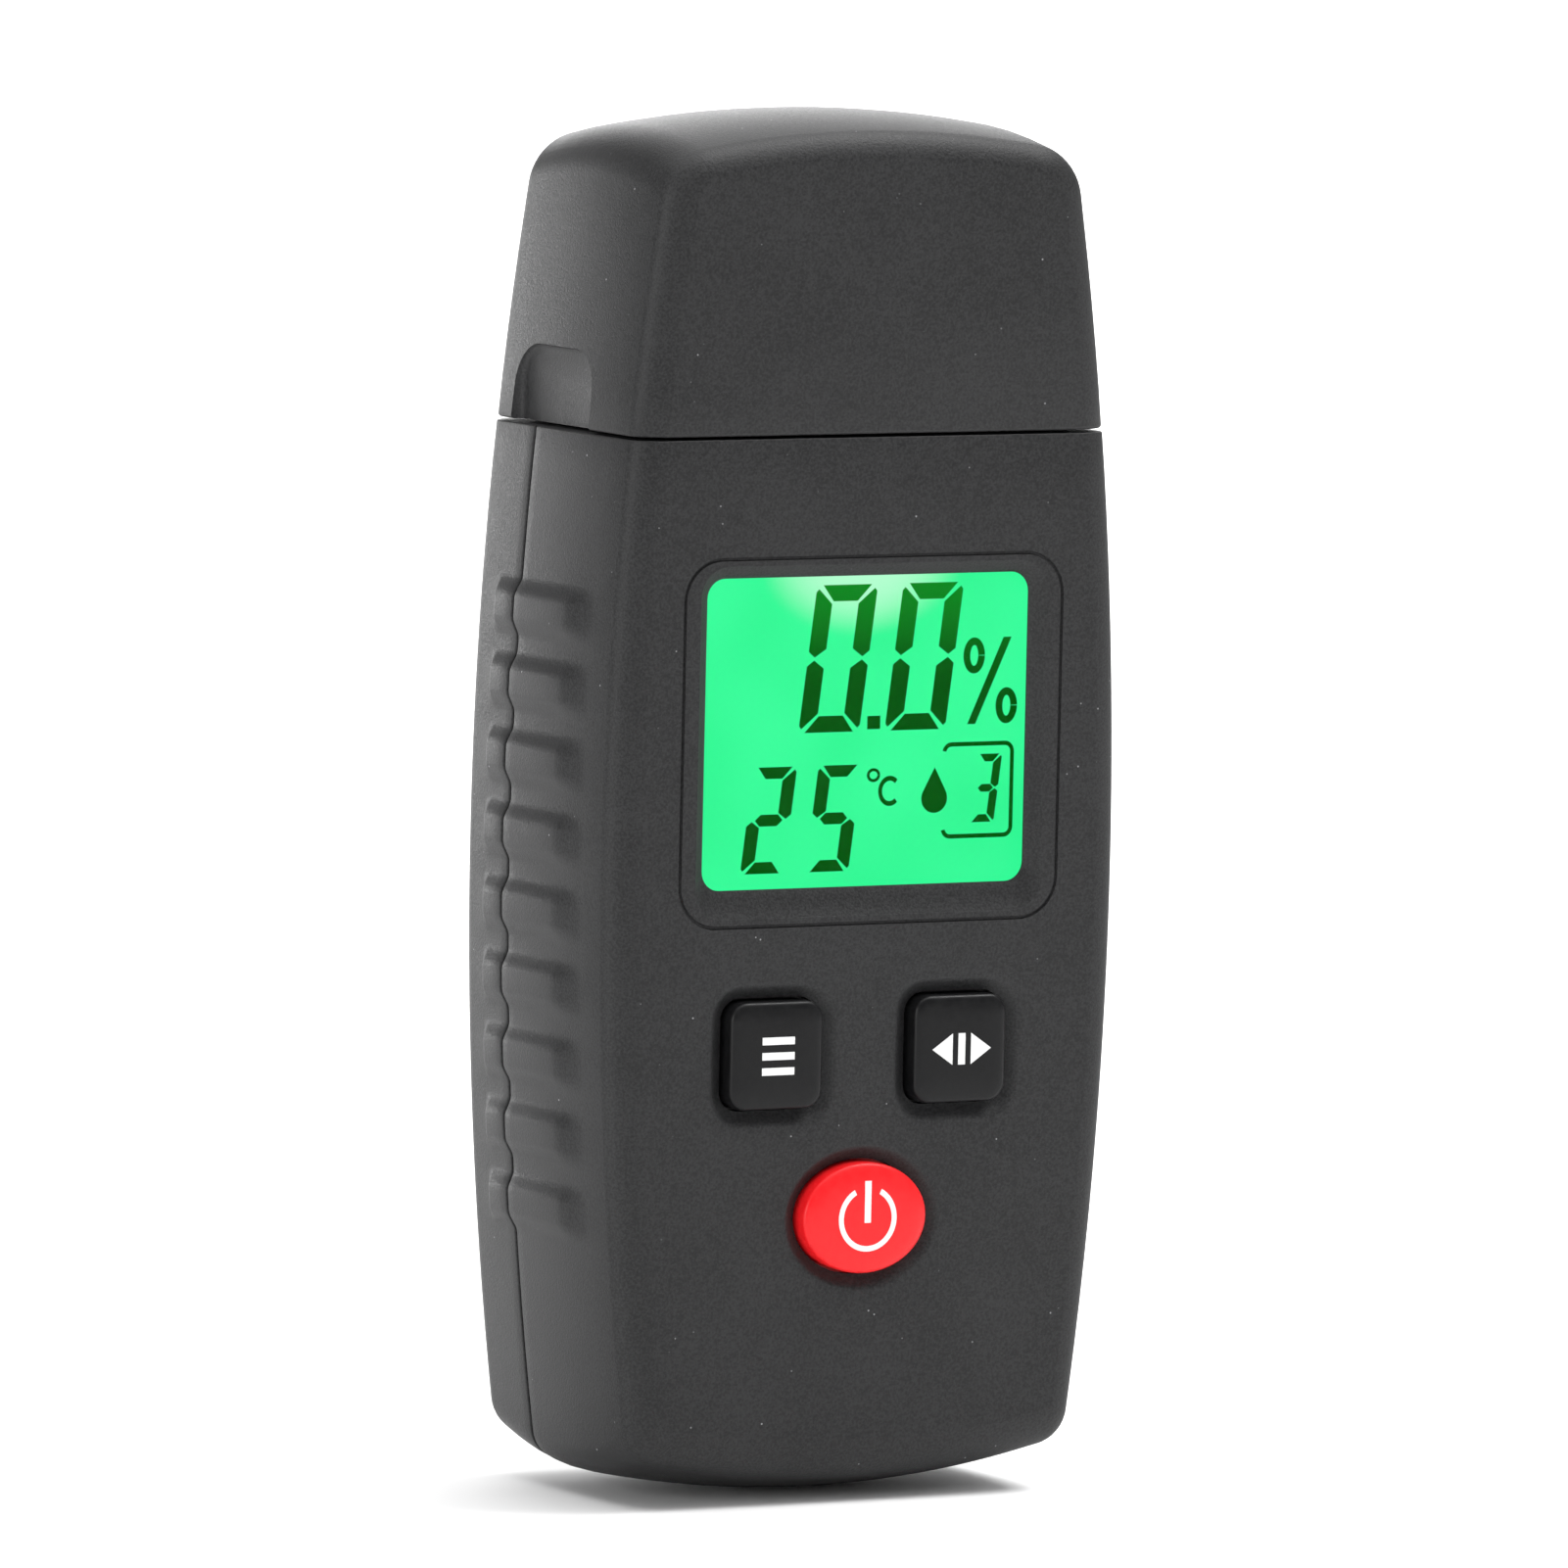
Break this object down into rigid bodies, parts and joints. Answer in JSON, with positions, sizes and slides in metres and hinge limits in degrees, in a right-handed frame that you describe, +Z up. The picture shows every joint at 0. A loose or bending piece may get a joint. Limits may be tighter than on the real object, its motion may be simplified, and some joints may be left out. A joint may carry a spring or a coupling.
{
  "type": "moisture meter",
  "caption": "Hand-held pin-type moisture meter: slim two-part housing with side grip ribs, lit display, push buttons and a pull-off cap over the electrode pins.",
  "frame": {"origin": "on the centreline at mid-depth, at the lowest point of the foot", "axes": "+X to the right seen from the front, +Y from the display face to the back, +Z up from the foot to the cap"},
  "size_m": [0.0568, 0.0318, 0.132],
  "materials": {
    "shell": "fine spark-textured charcoal ABS",
    "key": "smooth near-black plastic with a printed white symbol",
    "power_red": "satin red plastic with a printed white power symbol",
    "lens": "clear hard-coated acrylic",
    "lcd": "green-lit liquid crystal panel with dark segments",
    "diffuser": "milky light guide",
    "white_plastic": "moulded white plastic",
    "led": "LED package",
    "pink_rubber": "layered elastomer connector",
    "board": "glass-epoxy board with green solder mask",
    "black_plastic": "moulded black plastic",
    "component": "ceramic chip components",
    "switch_body": "tactile switch body",
    "bead": "epoxy-dipped bead on tinned legs",
    "cell_jacket": "printed metal jacket without lettering",
    "nickel": "nickel-plated steel",
    "steel": "bright steel",
    "brass": "turned brass",
    "red_wire": "PVC insulation",
    "black_wire": "PVC insulation",
    "white_wire": "PVC insulation"
  },
  "bodies": {
    "handset": {"front_shell": "shell", "back_shell": "shell", "battery": "cell_jacket", "battery_terminals": "nickel", "battery_snap": "black_plastic", "battery_lead_red": "red_wire", "battery_lead_black": "black_wire", "circuit_board": "board", "microcontroller": "black_plastic", "small_components": "component", "buzzer": "black_plastic", "thermistor": "bead", "lcd_panel": "lcd", "lcd_holder": "white_plastic", "backlight_diffuser": "diffuser", "backlight_led": "led", "zebra_strip": "pink_rubber", "window_lens": "lens", "mode_switch": "nickel", "set_switch": "nickel", "power_switch": "nickel", "pin_head": "black_plastic", "pin_socket_left": "brass", "pin_socket_right": "brass", "electrode_pin_left": "steel", "electrode_pin_right": "steel", "pin_nut_left": "nickel", "pin_nut_right": "nickel", "pin_lead_left": "white_wire", "pin_lead_right": "white_wire", "case_screws": "steel", "board_screws": "steel"},
    "cap": {"cap": "shell"},
    "door": {"battery_door": "shell"},
    "mode_key": {"mode_button": "key", "mode_plunger": "switch_body"},
    "set_key": {"set_button": "key", "set_plunger": "switch_body"},
    "power_key": {"power_button": "power_red", "power_plunger": "switch_body"}
  },
  "joints": [
    {"name": "cap_pull", "type": "slide", "parent": "handset", "child": "cap", "axis": [0, 0, 1], "range_m": [0, 0.045]},
    {"name": "door_tilt", "type": "hinge", "parent": "handset", "child": "door", "pos_m": [0, 0.01435, 0.0116], "axis": [-1, 0, 0], "range_deg": [0, 80]},
    {"name": "mode_press", "type": "slide", "parent": "handset", "child": "mode_key", "axis": [0, 1, 0], "range_m": [0, 0.0006], "stiffness_N_per_m": 2500},
    {"name": "set_press", "type": "slide", "parent": "handset", "child": "set_key", "axis": [0, 1, 0], "range_m": [0, 0.0006], "stiffness_N_per_m": 2500},
    {"name": "power_press", "type": "slide", "parent": "handset", "child": "power_key", "axis": [0, 1, 0], "range_m": [0, 0.0006], "stiffness_N_per_m": 2500}
  ]
}
